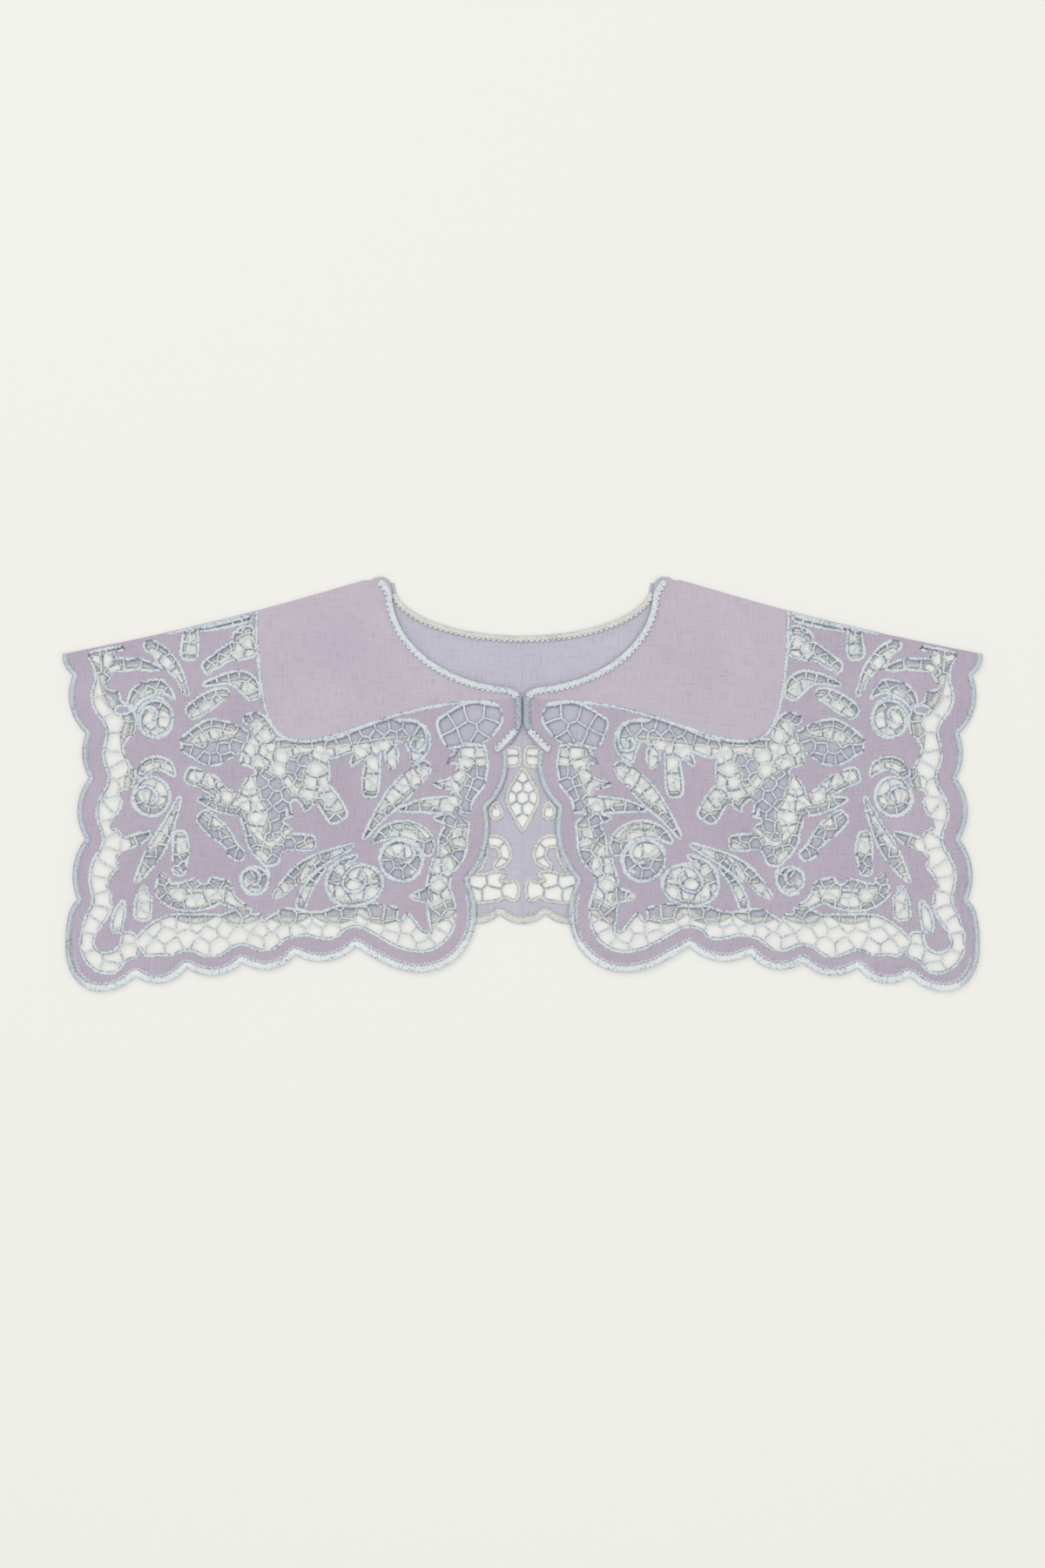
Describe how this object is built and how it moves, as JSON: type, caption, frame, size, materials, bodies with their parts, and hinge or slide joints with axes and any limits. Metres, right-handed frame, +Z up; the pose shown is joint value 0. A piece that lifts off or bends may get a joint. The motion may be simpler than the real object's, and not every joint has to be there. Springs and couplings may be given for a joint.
{
  "type": "cutwork collar",
  "caption": "Wide square linen cape collar with cutwork and scalloped edges, laid flat and folded at the shoulders, two fronts over one back.",
  "frame": {"origin": "on the table under the middle of the collar's outline, laid flat", "axes": "+X across the collar to the viewer's right, +Y from the hem to the shoulder folds, +Z up off the table"},
  "size_m": [0.527, 0.238, 0.0038],
  "materials": {
    "linen_face": "matt woven linen, lilac",
    "linen_inside": "matt woven linen, wrong side, colder lilac",
    "thread_face": "satin stitch thread, pale ice blue, soft sheen",
    "thread_inside": "underside of the stitching, pale ivory and sage"
  },
  "bodies": {
    "root": {"front_right": "linen_face", "front_left": "linen_face", "back": "linen_inside", "neck_braid_right": "thread_face", "neck_braid_left": "thread_face", "neck_braid_back": "thread_inside"}
  },
  "joints": []
}
